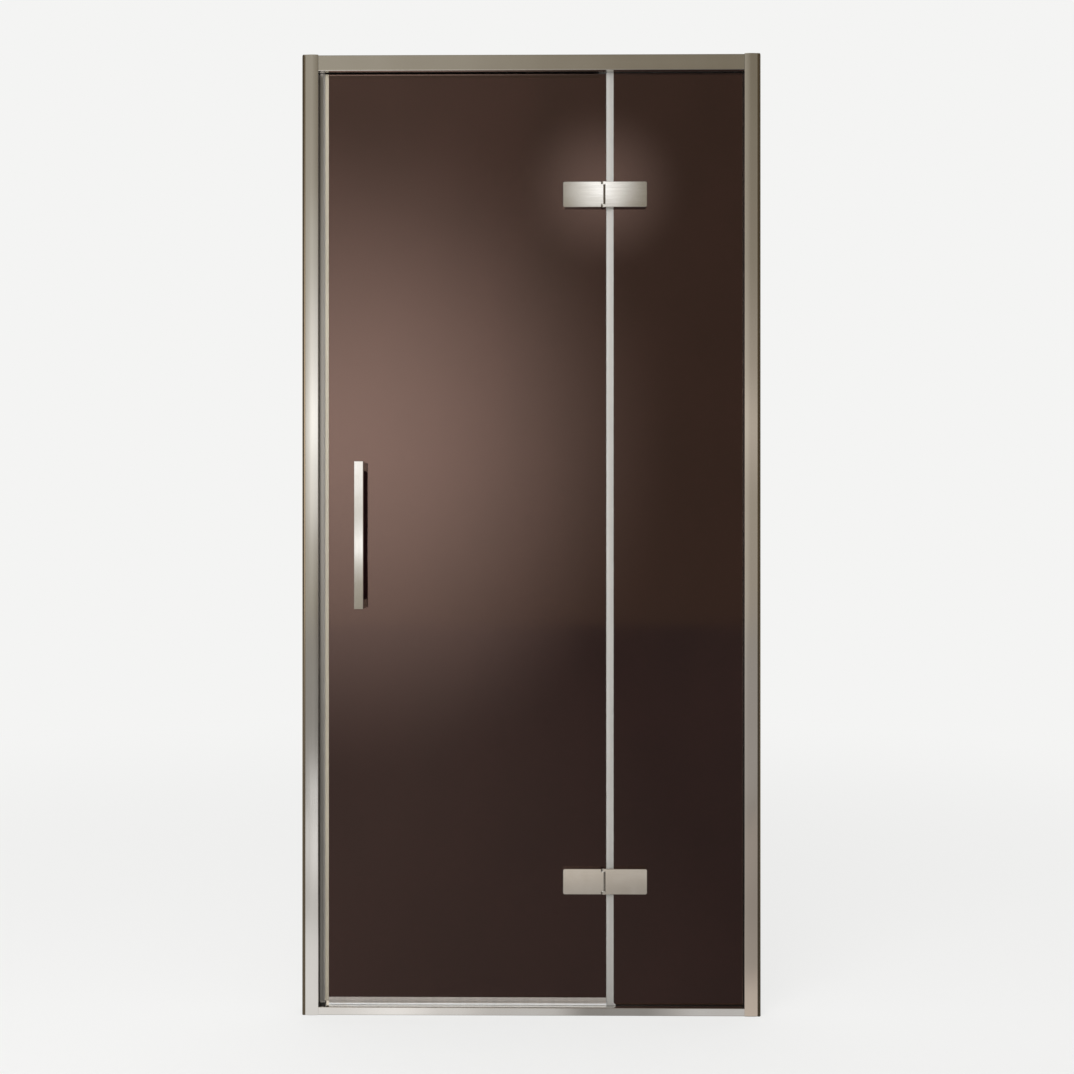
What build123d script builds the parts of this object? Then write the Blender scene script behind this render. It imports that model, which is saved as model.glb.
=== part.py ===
from build123d import *
import os

# Pivot shower door for a recess: a framed glass door hung from a fixed glass panel.
# Millimetres. X runs along the opening with 0 in its middle, +Z is up from the tray,
# and the room is on the -Y side, towards which the door opens.

os.makedirs("parts", exist_ok=True)

# Overall frame
frame_width = 906.0
frame_height = 1900.0
frame_depth = 40.0
profile_face = 32.0
rail_setback = 1.4
header_drop = 1.0

# Wall channels
channel_web = 2.5
channel_shoulder = 6.0
channel_flange = 26.0
channel_flange_wall = 2.0
channel_round = 4.5
wall_hole_radius = 2.75
wall_hole_count = 4
wall_hole_spacing = 560.0

# Frame posts that telescope over the wall channels
post_crown = 1.2
post_wall = 2.0
post_web = 2.0
post_edge_round = 1.0
post_shadow_gap = 0.4
slide_clearance = 0.3
cap_thickness = 1.5
cap_plug_depth = 8.0

# Glazing groove, the same in posts and rails
groove_width = 10.0
groove_depth = 12.0
groove_wall = 1.6
gasket_floor = 2.0
gasket_lip = 1.0

# Header and sill rails
header_height = 31.0
sill_height = 15.6
rail_wall = 1.8
rail_edge_round = 1.2
screw_rib_height = 7.2

# Glass
glass_thickness = 6.0
glass_edge_chamfer = 0.5
fixed_panel_width = 278.3
door_edge_reach = 6.5
door_foot_gap = 7.9
door_head_gap = 2.0
hinge_hole_radius = 8.0
handle_hole_radius = 6.0

# Seals
seal_wall = 0.8
running_gap = 0.3
strike_width = 8.0
strike_depth = 11.0
strike_foot_gap = 4.0
strike_rebate_width = 1.8
strike_rebate_depth = 4.0
strike_slot_width = 2.0
strike_slot_depth = 2.6
magnet_box = 3.0
magnet_thickness = 2.0
magnet_width = 5.0
magnet_clearance = 0.05
strike_air_gap = 0.6
door_magnet_box = 3.4
magnet_seal_leg = 3.6
foot_seal_leg = 7.5
foot_vane_splay = 1.2
gap_seal_bulb = 7.7
gap_seal_leg = 6.5
gap_seal_round = 1.5
gap_seal_wall = 1.6
gap_foot_width = 4.0
gap_foot_height = 6.0
stop_lip_gap = 1.2
stop_lip_wall = 1.6
stop_lip_drop = 9.0
stop_end_gap = 7.5
water_bar_gap = 2.2
water_bar_wall = 2.0
water_bar_rise = 9.0
tongue_depth = 7.0
tongue_clearance = 0.2

# Hinges
lower_hinge_rise = 248.1
upper_hinge_drop = 244.2
pivot_setback = 4.0
plate_thickness = 10.0
plate_height = 50.6
door_leaf_length = 79.4
fixed_leaf_length = 82.3
plate_corner = 3.5
plate_bevel = 0.6
leaf_gap = 0.4
lug_height = 5.0
thrust_washer = 1.0
thrust_washer_inset = 0.1
pin_radius = 2.25
pin_fit = 0.05
pin_recess = 0.3
axial_play = 0.05
gasket_thickness = 1.0
gasket_inset = 1.8
seal_leg_clearance = 0.7
clamp_thickness = 6.0
clamp_corner = 3.0
hinge_screw_rise = 13.0
hinge_screw_reach = 38.0
screw_radius = 3.0
screw_fit = 0.05
screw_head_radius = 5.4
screw_head_height = 2.4
screw_floor = 3.4
socket_radius = 2.3
socket_depth = 2.0
sleeve_clearance = 0.1

# Handle
handle_inset = 67.9
handle_height = 949.4
handle_length = 290.0
handle_width = 17.7
handle_bar_thickness = 9.0
handle_projection = 40.0
handle_post_height = 18.0
handle_edge = 0.5
rosette_radius = 12.0
rosette_thickness = 5.0
rosette_round = 1.5
handle_bolt_bite = 4.0

# Fixings of the frame
rail_screw_radius = 2.1
rail_screw_length = 22.0
rail_screw_head_radius = 3.8
rail_screw_head_height = 2.4
rail_port_radius = 2.15
clamp_screw_margin = 150.0
clamp_screw_radius = 2.1
clamp_screw_head_radius = 3.9
clamp_screw_head_height = 1.8
clamp_screw_length = 8.0
cover_radius = 4.6
cover_thickness = 1.0

# Values that follow from the ones above
half_width = frame_width / 2
half_depth = frame_depth / 2
half_glass = glass_thickness / 2
half_groove = groove_width / 2
post_edge_y = half_depth - post_crown
post_inner_y = post_edge_y - post_wall
flange_outer_y = post_inner_y - slide_clearance
flange_inner_y = flange_outer_y - channel_flange_wall
shoulder_y = post_edge_y + post_crown / 2
profile_height = frame_height - cap_thickness
inner_x = half_width - profile_face
rail_face_y = half_depth - rail_setback
header_top = frame_height - header_drop
header_foot = header_top - header_height
sill_foot = 0.0
sill_top = sill_foot + sill_height
port_y = (half_groove + groove_wall + rail_face_y - rail_wall) / 2
header_port_z = header_foot + header_height / 2
sill_port_z = sill_foot + sill_height / 2
post_crest = (channel_shoulder + post_shadow_gap + profile_face) / 2
clamp_screw_heights = (clamp_screw_margin, frame_height / 2, frame_height - clamp_screw_margin)

pivot_x = inner_x - fixed_panel_width
hinge_heights = {"lower": sill_top + lower_hinge_rise, "upper": header_foot - upper_hinge_drop}
strike_left = -inner_x
strike_right = strike_left + strike_width
magnet_right = strike_right + magnet_box
door_magnet_left = magnet_right + strike_air_gap
door_left = door_magnet_left + door_magnet_box
door_right_edge = pivot_x + door_edge_reach
gap_seal_left = door_right_edge + running_gap
fixed_left_edge = gap_seal_left + gap_seal_bulb
door_foot = sill_top + door_foot_gap
door_head = header_foot - door_head_gap
door_height = door_head - door_foot
fixed_right = inner_x + groove_depth - gasket_floor
fixed_foot = sill_top - groove_depth + gasket_floor
fixed_head = header_foot + groove_depth - gasket_floor
seal_outer_y = half_glass + seal_wall
strike_front = -half_glass
magnet_box_depth = 2 * seal_outer_y

plate_back = -half_glass - gasket_thickness
plate_front = plate_back - plate_thickness
pivot_y = plate_front + pivot_setback
half_plate = plate_height / 2
lug_inner = half_plate - lug_height
knuckle_half = lug_inner - thrust_washer - 2 * axial_play
pin_bore = pin_radius + pin_fit
hinge_left = pivot_x - door_leaf_length
fixed_leaf_start = pivot_x + pivot_setback + leaf_gap
hinge_right = fixed_leaf_start + fixed_leaf_length
door_screw_x = pivot_x - hinge_screw_reach
clamp_inner_x = pivot_x - pivot_setback / 2
fixed_clamp_start = fixed_left_edge + gap_seal_leg + seal_leg_clearance
fixed_screw_x = (fixed_clamp_start + hinge_right - gasket_inset) / 2
clamp_back = half_glass + gasket_thickness + clamp_thickness
screw_bore = screw_radius + screw_fit
screw_bite = plate_thickness - screw_floor
opening_end = pivot_x - stop_end_gap


def save(piece, node_name):
    piece.part.label = node_name
    export_step(piece.part, f"parts/{node_name}.step")


def side_x(side, reach):
    # x of a point that lies reach in from the wall, on the left (-1) or right (+1)
    return side * (half_width - reach)


def slab(side, reach_start, reach_end, y_start, y_end, mode=Mode.ADD):
    # rectangle in plan between two distances from the wall and two depths
    x_middle = side_x(side, (reach_start + reach_end) / 2)
    with Locations((x_middle, (y_start + y_end) / 2)):
        Rectangle(abs(reach_end - reach_start), abs(y_end - y_start), mode=mode)


def block(y_start, y_end, z_start, z_end, mode=Mode.ADD):
    # rectangle in a section across a rail, in depth and height
    with Locations(((y_start + y_end) / 2, (z_start + z_end) / 2)):
        Rectangle(abs(y_end - y_start), abs(z_end - z_start), mode=mode)


def post_outline(side):
    # crowned front and rear faces of a frame post, in plan
    outer_x = side_x(side, channel_shoulder + post_shadow_gap)
    crest_x = side_x(side, post_crest)
    edge_x = side_x(side, profile_face)
    with BuildLine() as outline:
        ThreePointArc((outer_x, -post_edge_y), (crest_x, -half_depth), (edge_x, -post_edge_y))
        Line((edge_x, -post_edge_y), (edge_x, post_edge_y))
        ThreePointArc((edge_x, post_edge_y), (crest_x, half_depth), (outer_x, post_edge_y))
        Line((outer_x, post_edge_y), (outer_x, -post_edge_y))
    make_face(outline.edges())


def round_wall_corners(sketch):
    # the channel's two corners against the wall
    corners = sketch.vertices().sort_by(lambda v: abs(v.X))[-2:]
    fillet(corners, radius=channel_round)


# Wall channels: screwed to the walls, each with two flanges that the post slides over
def wall_channel(side):
    with BuildPart() as channel:
        with BuildSketch(Plane.XY) as section:
            slab(side, 0, channel_web, -shoulder_y, shoulder_y)
            slab(side, 0, channel_shoulder, -shoulder_y, -flange_inner_y)
            slab(side, 0, channel_shoulder, flange_inner_y, shoulder_y)
            round_wall_corners(section)
            slab(side, 0, channel_flange, -flange_outer_y, -flange_inner_y)
            slab(side, 0, channel_flange, flange_inner_y, flange_outer_y)
        extrude(amount=profile_height)
        with BuildSketch(Plane.YZ.offset(side_x(side, 0))):
            with Locations((0, frame_height / 2)):
                with GridLocations(1, wall_hole_spacing, 1, wall_hole_count):
                    Circle(wall_hole_radius)
        extrude(amount=-side * channel_web, mode=Mode.SUBTRACT)
        for height in clamp_screw_heights:
            clamp_y = (flange_inner_y + flange_outer_y) / 2
            hole_plane = Plane((side_x(side, post_crest), clamp_y, height), z_dir=(0, 1, 0))
            with Locations(hole_plane):
                Cylinder(clamp_screw_radius + screw_fit, 2 * channel_flange_wall, mode=Mode.SUBTRACT)
    return channel


# Frame posts: crowned sleeves, each with a glazing groove that opens into the doorway
def frame_post(side):
    groove_floor = profile_face - groove_depth
    groove_back = groove_floor - groove_wall
    with BuildPart() as post:
        with BuildSketch(Plane.XY) as section:
            post_outline(side)
            edges_in = section.vertices().sort_by(lambda v: abs(v.X))[:2]
            fillet(edges_in, radius=post_edge_round)
            slab(side, 0, profile_face - post_web, -post_inner_y, post_inner_y, mode=Mode.SUBTRACT)
            slab(side, groove_back, profile_face, -half_groove - groove_wall, half_groove + groove_wall)
            slab(side, groove_floor, profile_face, -half_groove, half_groove, mode=Mode.SUBTRACT)
        extrude(amount=profile_height)
        with BuildSketch(Plane.YZ.offset(side_x(side, profile_face))):
            for port_z in (header_port_z, sill_port_z):
                with Locations((-port_y, port_z), (port_y, port_z)):
                    Circle(rail_screw_radius + screw_fit)
        extrude(amount=side * 2 * post_web, mode=Mode.SUBTRACT)
        for height in clamp_screw_heights:
            seat_plane = Plane((side_x(side, post_crest), half_depth, height), z_dir=(0, 1, 0))
            with Locations(seat_plane):
                CounterBoreHole(clamp_screw_radius + screw_fit, cover_radius + screw_fit, cover_thickness,
                                depth=half_depth - post_inner_y + slide_clearance / 2)
            with Locations(seat_plane.offset(-cover_thickness)):
                CounterSinkHole(clamp_screw_radius + screw_fit, clamp_screw_head_radius + screw_fit,
                                depth=clamp_screw_head_height + slide_clearance)
    return post


def top_cap(side):
    plug_start = channel_web + slide_clearance
    plug_end = profile_face - groove_depth - groove_wall - slide_clearance
    plug_y = flange_inner_y - slide_clearance
    with BuildPart() as cap:
        with BuildSketch(Plane.XY.offset(profile_height)) as outline:
            slab(side, 0, channel_shoulder + 2 * post_shadow_gap, -shoulder_y, shoulder_y)
            round_wall_corners(outline)
            post_outline(side)
        extrude(amount=cap_thickness)
        with BuildSketch(Plane.XY.offset(profile_height)):
            slab(side, plug_start, plug_end, -plug_y, plug_y)
        extrude(amount=-cap_plug_depth)
    return cap


for side_name, side in (("left", -1), ("right", 1)):
    save(wall_channel(side), f"{side_name}_wall_channel")
    save(frame_post(side), f"{side_name}_frame_post")
    save(top_cap(side), f"{side_name}_top_cap")


# Header and sill: hollow rails between the posts, open along the glazing groove
def rail(foot, top, groove_mouth, groove_direction, port_z):
    groove_floor = groove_mouth + groove_direction * groove_depth
    groove_back = groove_floor + groove_direction * groove_wall
    rib_y = rail_face_y - rail_wall
    with BuildPart() as piece:
        with BuildSketch(Plane.YZ.offset(-inner_x)) as section:
            block(-rail_face_y, rail_face_y, foot, top)
            fillet(section.vertices(), radius=rail_edge_round)
            block(-rib_y, rib_y, foot + rail_wall, top - rail_wall, mode=Mode.SUBTRACT)
            block(-rib_y, rib_y, port_z - screw_rib_height / 2, port_z + screw_rib_height / 2)
            block(-half_groove - groove_wall, half_groove + groove_wall, groove_mouth, groove_back)
            block(-half_groove, half_groove, groove_mouth, groove_floor, mode=Mode.SUBTRACT)
            with Locations((-port_y, port_z), (port_y, port_z)):
                Circle(rail_port_radius, mode=Mode.SUBTRACT)
        extrude(amount=2 * inner_x)
    return piece


save(rail(header_foot, header_top, header_foot, 1, header_port_z), "header_rail")
save(rail(sill_foot, sill_top, sill_top, -1, sill_port_z), "sill_rail")


# Self-tapping screws that hold the rails' ends, put in from inside the posts
def rail_screws(port_z):
    head_x = inner_x + post_web
    with BuildPart() as screws:
        for side in (-1, 1):
            with BuildSketch(Plane.YZ.offset(side * head_x)):
                with Locations((-port_y, port_z), (port_y, port_z)):
                    Circle(rail_screw_head_radius)
            extrude(amount=side * rail_screw_head_height)
            with BuildSketch(Plane.YZ.offset(side * head_x)):
                with Locations((-port_y, port_z), (port_y, port_z)):
                    Circle(rail_screw_radius)
            extrude(amount=-side * rail_screw_length)
    return screws


save(rail_screws(header_port_z), "header_screws")
save(rail_screws(sill_port_z), "sill_screws")


# Screws that lock each post on its wall channel, and the press-in covers over their heads
def clamp_screws(side):
    head_y = half_depth - cover_thickness
    with BuildPart() as screws:
        for height in clamp_screw_heights:
            head_plane = Plane((side_x(side, post_crest), head_y, height), z_dir=(0, -1, 0))
            with Locations(head_plane):
                Cone(clamp_screw_head_radius, clamp_screw_radius, clamp_screw_head_height,
                     align=(Align.CENTER, Align.CENTER, Align.MIN))
                Cylinder(clamp_screw_radius, clamp_screw_length,
                         align=(Align.CENTER, Align.CENTER, Align.MIN))
    return screws


def screw_covers(side):
    with BuildPart() as covers:
        for height in clamp_screw_heights:
            cover_plane = Plane((side_x(side, post_crest), half_depth, height), z_dir=(0, -1, 0))
            with Locations(cover_plane):
                Cylinder(cover_radius, cover_thickness, align=(Align.CENTER, Align.CENTER, Align.MIN))
    return covers


for side_name, side in (("left", -1), ("right", 1)):
    save(clamp_screws(side), f"{side_name}_clamp_screws")
    save(screw_covers(side), f"{side_name}_screw_covers")


def plan_box(x_start, x_end, y_start, y_end, mode=Mode.ADD):
    with Locations(((x_start + x_end) / 2, (y_start + y_end) / 2)):
        Rectangle(abs(x_end - x_start), abs(y_end - y_start), mode=mode)


# Strike profile: clips into the left post's groove, stands on its foot block and carries the magnet seal
strike_foot = sill_top + strike_foot_gap
strike_head = header_foot - running_gap
strike_length = strike_head - strike_foot
slot_y = strike_front + magnet_box_depth / 2

with BuildPart() as strike_profile:
    with BuildSketch(Plane.XY.offset(strike_foot)):
        plan_box(strike_left, strike_right, strike_front, strike_front + strike_depth)
        plan_box(strike_left, strike_left + strike_rebate_width,
                 strike_front, strike_front + strike_rebate_depth, mode=Mode.SUBTRACT)
        plan_box(strike_left - groove_depth + gasket_floor, strike_left,
                 -half_groove + tongue_clearance, half_groove - tongue_clearance)
        plan_box(strike_right - strike_slot_depth, strike_right,
                 slot_y - strike_slot_width / 2, slot_y + strike_slot_width / 2, mode=Mode.SUBTRACT)
    extrude(amount=strike_length)
save(strike_profile, "strike_profile")

with BuildPart() as strike_magnet_seal:
    with BuildSketch(Plane.XY.offset(strike_foot)):
        plan_box(strike_right, magnet_right, strike_front, strike_front + magnet_box_depth)
        plan_box(strike_right - strike_slot_depth + tongue_clearance, strike_right,
                 slot_y - strike_slot_width / 2 + tongue_clearance / 2,
                 slot_y + strike_slot_width / 2 - tongue_clearance / 2)
        with Locations(((strike_right + magnet_right) / 2, slot_y)):
            Rectangle(magnet_thickness, magnet_width, mode=Mode.SUBTRACT)
    extrude(amount=strike_length)
save(strike_magnet_seal, "strike_magnet_seal")

with BuildPart() as strike_foot_block:
    with BuildSketch(Plane.XY.offset(sill_top)):
        plan_box(strike_left, magnet_right, strike_front, strike_front + strike_depth)
    extrude(amount=strike_foot_gap)
save(strike_foot_block, "strike_foot_block")

with BuildPart() as strike_magnet:
    with BuildSketch(Plane.XY.offset(strike_foot)):
        with Locations(((strike_right + magnet_right) / 2, slot_y)):
            Rectangle(magnet_thickness - 2 * magnet_clearance, magnet_width - 2 * magnet_clearance)
    extrude(amount=strike_length)
save(strike_magnet, "strike_magnet")


def screw_places(screw_x, hinge_z):
    # the two screws of a hinge leaf, one above the other
    return ((screw_x, hinge_z - hinge_screw_rise), (screw_x, hinge_z + hinge_screw_rise))


# Glass panes, with the bores that the hinge screws and the handle bolts pass through
def pane(x_start, x_end, z_start, z_end, hinge_x, handle_bores):
    with BuildPart() as glass:
        with BuildSketch(Plane.XZ.offset(-half_glass)):
            with Locations(((x_start + x_end) / 2, (z_start + z_end) / 2)):
                Rectangle(x_end - x_start, z_end - z_start)
        extrude(amount=glass_thickness)
        faces_out = glass.faces().filter_by(Axis.Y)
        chamfer(faces_out.edges(), length=glass_edge_chamfer)
        with BuildSketch(Plane.XZ.offset(-half_glass)):
            for hinge_z in hinge_heights.values():
                with Locations(*screw_places(hinge_x, hinge_z)):
                    Circle(hinge_hole_radius)
            if handle_bores:
                with Locations(*handle_centres):
                    Circle(handle_hole_radius)
        extrude(amount=glass_thickness, mode=Mode.SUBTRACT)
    return glass


handle_x = door_left + handle_inset
handle_post_rise = (handle_length - handle_post_height) / 2
handle_centres = (
    (handle_x, handle_height - handle_post_rise),
    (handle_x, handle_height + handle_post_rise),
)
save(pane(door_left, door_right_edge, door_foot, door_head, door_screw_x, True), "door_glass")
save(pane(fixed_left_edge, fixed_right, fixed_foot, fixed_head, fixed_screw_x, False), "fixed_glass")


# Glazing gaskets: channels of soft rubber that hold the fixed pane in its three grooves
with BuildPart() as glazing_gasket_side:
    with BuildSketch(Plane.XY.offset(sill_top)):
        plan_box(inner_x - gasket_lip, inner_x + groove_depth, -half_groove, half_groove)
        plan_box(inner_x - gasket_lip, fixed_right, -half_glass, half_glass, mode=Mode.SUBTRACT)
    extrude(amount=header_foot - sill_top)
save(glazing_gasket_side, "glazing_gasket_side")


def rail_gasket(lip, mouth, floor, pane_edge):
    gasket_start = fixed_left_edge + gap_seal_leg + gap_foot_width + running_gap
    with BuildPart() as gasket:
        with BuildSketch(Plane.YZ.offset(gasket_start)):
            block(-half_groove, half_groove, lip, floor)
            block(-half_glass, half_glass, lip, pane_edge, mode=Mode.SUBTRACT)
        extrude(amount=inner_x - gasket_lip - gasket_start)
    return gasket


save(rail_gasket(header_foot - gasket_lip, header_foot, header_foot + groove_depth, fixed_head),
     "glazing_gasket_top")
save(rail_gasket(sill_top + gasket_lip, sill_top, sill_top - groove_depth, fixed_foot),
     "glazing_gasket_bottom")

# Gap seal: clips over the fixed pane's free edge and closes the gap at the hinges
with BuildPart() as gap_seal:
    with BuildSketch(Plane.XY.offset(sill_top)) as gap_section:
        plan_box(gap_seal_left, fixed_left_edge + gap_seal_leg, -seal_outer_y, seal_outer_y)
        bulb_corners = gap_section.vertices().sort_by(Axis.X)[:2]
        fillet(bulb_corners, radius=gap_seal_round)
        plan_box(fixed_left_edge, fixed_left_edge + gap_seal_leg, -half_glass, half_glass,
                 mode=Mode.SUBTRACT)
        with Locations(((gap_seal_left + fixed_left_edge) / 2, 0)):
            RectangleRounded(gap_seal_bulb - 2 * gap_seal_wall, glass_thickness - seal_wall, seal_wall,
                             mode=Mode.SUBTRACT)
    extrude(amount=header_foot - sill_top)
    foot_left = fixed_left_edge + gap_seal_leg
    with BuildSketch(Plane.XZ.offset(half_glass)):
        with BuildLine():
            foot_rise = Line((foot_left, sill_top), (foot_left, sill_top + gap_foot_height))
            RadiusArc(foot_rise @ 1, (foot_left + gap_foot_width, sill_top), gap_foot_height)
            Line((foot_left + gap_foot_width, sill_top), foot_rise @ 0)
        make_face()
    extrude(amount=seal_wall)
save(gap_seal, "gap_seal")

# Header stop seal: fills the groove over the door and stops the pane with its lip
stop_tongue_y = half_groove - tongue_clearance
stop_lip_start = half_glass + stop_lip_gap
with BuildPart() as header_stop_seal:
    with BuildSketch(Plane.YZ.offset(-inner_x)):
        block(-stop_tongue_y, stop_tongue_y, header_foot, header_foot + tongue_depth)
    extrude(amount=gap_seal_left + inner_x)
    with BuildSketch(Plane.YZ.offset(magnet_right)):
        block(stop_lip_start, stop_lip_start + stop_lip_wall, header_foot - stop_lip_drop, header_foot)
    extrude(amount=opening_end - magnet_right)
save(header_stop_seal, "header_stop_seal")

# Sill water bar: fills the groove under the door and keeps water in behind it
water_bar_start = seal_outer_y + water_bar_gap
with BuildPart() as sill_water_bar:
    with BuildSketch(Plane.YZ.offset(-inner_x)):
        block(-stop_tongue_y, stop_tongue_y, sill_top - tongue_depth, sill_top)
    extrude(amount=gap_seal_left + inner_x)
    with BuildSketch(Plane.YZ.offset(magnet_right)):
        block(stop_tongue_y - seal_wall, water_bar_start, sill_top, sill_top + seal_wall)
        block(water_bar_start, water_bar_start + water_bar_wall, sill_top, sill_top + water_bar_rise)
    extrude(amount=opening_end - magnet_right)
save(sill_water_bar, "sill_water_bar")

# Door magnet seal: clips over the door's free edge and draws it shut
with BuildPart() as door_magnet_seal:
    with BuildSketch(Plane.XY.offset(door_foot)):
        plan_box(door_magnet_left, door_left + magnet_seal_leg, -seal_outer_y, seal_outer_y)
        plan_box(door_left, door_left + magnet_seal_leg, -half_glass, half_glass, mode=Mode.SUBTRACT)
        with Locations(((door_magnet_left + door_left) / 2, 0)):
            Rectangle(magnet_thickness, magnet_width, mode=Mode.SUBTRACT)
    extrude(amount=door_height)
save(door_magnet_seal, "door_magnet_seal")

with BuildPart() as door_magnet:
    with BuildSketch(Plane.XY.offset(door_foot)):
        with Locations(((door_magnet_left + door_left) / 2, 0)):
            Rectangle(magnet_thickness - 2 * magnet_clearance, magnet_width - 2 * magnet_clearance)
    extrude(amount=door_height)
save(door_magnet, "door_magnet")

# Door foot seal: clips over the door's lower edge, with two vanes that wipe the sill
vane_foot = sill_top + running_gap
vane_top = door_foot - seal_wall
vane_root = seal_outer_y - foot_vane_splay
with BuildPart() as door_foot_seal:
    with BuildSketch(Plane.YZ.offset(door_left + magnet_seal_leg)):
        block(-seal_outer_y, seal_outer_y, vane_top, door_foot + foot_seal_leg)
        block(-half_glass, half_glass, door_foot, door_foot + foot_seal_leg, mode=Mode.SUBTRACT)
        for vane in (-1, 1):
            with BuildLine():
                Polyline((vane * vane_root, vane_top), (vane * seal_outer_y, vane_foot),
                         (vane * (seal_outer_y - seal_wall), vane_foot),
                         (vane * (vane_root - seal_wall), vane_top), close=True)
            make_face()
    extrude(amount=door_right_edge - door_left - magnet_seal_leg)
save(door_foot_seal, "door_foot_seal")


# Hinges: a leaf on each pane, joined by a pin that stands in front of the glass
def hinge_door_plate(hinge_z):
    plate_end = pivot_x + pivot_setback
    notch_x = pivot_x - pivot_setback - leaf_gap
    with BuildPart() as plate:
        with BuildSketch(Plane.XZ.offset(-plate_back)) as outline:
            with Locations(((hinge_left + plate_end) / 2, hinge_z)):
                Rectangle(plate_end - hinge_left, plate_height)
            fillet(outline.vertices().sort_by(Axis.X)[:2], radius=plate_corner)
            notch_rise = (knuckle_half + half_plate) / 2
            for notch_z in (hinge_z - notch_rise, hinge_z + notch_rise):
                with Locations(((notch_x + plate_end) / 2, notch_z)):
                    Rectangle(plate_end - notch_x, half_plate - knuckle_half, mode=Mode.SUBTRACT)
        extrude(amount=plate_thickness)
        knuckle = plate.edges().filter_by(Axis.Z).group_by(Axis.X)[-1].sort_by(Axis.Y)[0]
        fillet(knuckle, radius=pivot_setback)
        front_edges = plate.faces().filter_by(Axis.Y).sort_by(Axis.Y)[0].edges()
        chamfer(front_edges.filter_by_position(Axis.X, hinge_left, notch_x - 1), length=plate_bevel)
        with Locations((pivot_x, pivot_y, hinge_z)):
            Cylinder(pin_bore, plate_height, mode=Mode.SUBTRACT)
        with BuildSketch(Plane.XZ.offset(-plate_back)):
            with Locations(*screw_places(door_screw_x, hinge_z)):
                Circle(screw_bore)
        extrude(amount=screw_bite + axial_play, mode=Mode.SUBTRACT)
    return plate


def hinge_fixed_plate(hinge_z):
    with BuildPart() as plate:
        with BuildSketch(Plane.XZ.offset(-plate_back)) as outline:
            with Locations(((fixed_leaf_start + hinge_right) / 2, hinge_z)):
                Rectangle(fixed_leaf_length, plate_height)
            fillet(outline.vertices().sort_by(Axis.X)[2:], radius=plate_corner)
        extrude(amount=plate_thickness)
        front_edges = plate.faces().filter_by(Axis.Y).sort_by(Axis.Y)[0].edges()
        chamfer(front_edges.sort_by(Axis.X)[1:], length=plate_bevel)
        for lug_z in (hinge_z - half_plate, hinge_z + lug_inner):
            with BuildSketch(Plane.XY.offset(lug_z)):
                with Locations((pivot_x, pivot_y)):
                    Circle(pivot_setback)
                plan_box(pivot_x, fixed_leaf_start, pivot_y - pivot_setback, pivot_y + pivot_setback)
            extrude(amount=lug_height)
        with Locations((pivot_x, pivot_y, hinge_z)):
            Cylinder(pin_bore, plate_height, mode=Mode.SUBTRACT)
        with BuildSketch(Plane.XZ.offset(-plate_back)):
            with Locations(*screw_places(fixed_screw_x, hinge_z)):
                Circle(screw_bore)
        extrude(amount=screw_bite + axial_play, mode=Mode.SUBTRACT)
    return plate


def hinge_pin(hinge_z):
    with BuildPart() as pin:
        with Locations((pivot_x, pivot_y, hinge_z)):
            Cylinder(pin_radius, plate_height - 2 * pin_recess)
        chamfer(pin.edges().filter_by(GeomType.CIRCLE), length=pin_recess)
    return pin


def hinge_thrust_washers(hinge_z):
    washer_rise = lug_inner - axial_play - thrust_washer / 2
    with BuildPart() as washers:
        for washer_z in (hinge_z - washer_rise, hinge_z + washer_rise):
            with Locations((pivot_x, pivot_y, washer_z)):
                Cylinder(pivot_setback - thrust_washer_inset, thrust_washer)
                Cylinder(pin_bore, thrust_washer, mode=Mode.SUBTRACT)
    return washers


def leaf_pads(x_start, x_end, screw_x, hinge_z):
    # one soft pad on each side of the glass
    with BuildPart() as pads:
        for pad_back in (plate_back, half_glass):
            with BuildSketch(Plane.XZ.offset(-pad_back - gasket_thickness)):
                with Locations(((x_start + x_end) / 2, hinge_z)):
                    Rectangle(x_end - x_start, plate_height - 2 * gasket_inset)
                with Locations(*screw_places(screw_x, hinge_z)):
                    Circle(screw_radius + sleeve_clearance, mode=Mode.SUBTRACT)
            extrude(amount=gasket_thickness)
    return pads


def leaf_clamp(x_start, x_end, screw_x, hinge_z):
    with BuildPart() as clamp:
        with BuildSketch(Plane.XZ.offset(-clamp_back)):
            with Locations(((x_start + x_end) / 2, hinge_z)):
                RectangleRounded(x_end - x_start, plate_height - 2 * gasket_inset, clamp_corner)
        extrude(amount=clamp_thickness)
        rear_face = clamp.faces().filter_by(Axis.Y).sort_by(Axis.Y)[-1]
        chamfer(rear_face.edges(), length=plate_bevel)
        for place_x, place_z in screw_places(screw_x, hinge_z):
            with Locations(Plane((place_x, clamp_back, place_z), z_dir=(0, 1, 0))):
                Cylinder(screw_bore, 2 * clamp_thickness, mode=Mode.SUBTRACT)
                Cone(screw_radius + screw_fit, screw_head_radius + screw_fit, screw_head_height,
                     align=(Align.CENTER, Align.CENTER, Align.MAX), mode=Mode.SUBTRACT)
    return clamp


def countersunk_screws(places, head_y, tip_y):
    with BuildPart() as screws:
        for place_x, place_z in places:
            with Locations(Plane((place_x, head_y, place_z), z_dir=(0, 1, 0))):
                Cylinder(screw_radius, head_y - tip_y, align=(Align.CENTER, Align.CENTER, Align.MAX))
                Cone(screw_radius, screw_head_radius, screw_head_height,
                     align=(Align.CENTER, Align.CENTER, Align.MAX))
            with BuildSketch(Plane((place_x, head_y, place_z), z_dir=(0, 1, 0))):
                RegularPolygon(radius=socket_radius, side_count=6)
            extrude(amount=-socket_depth, mode=Mode.SUBTRACT)
    return screws


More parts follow.
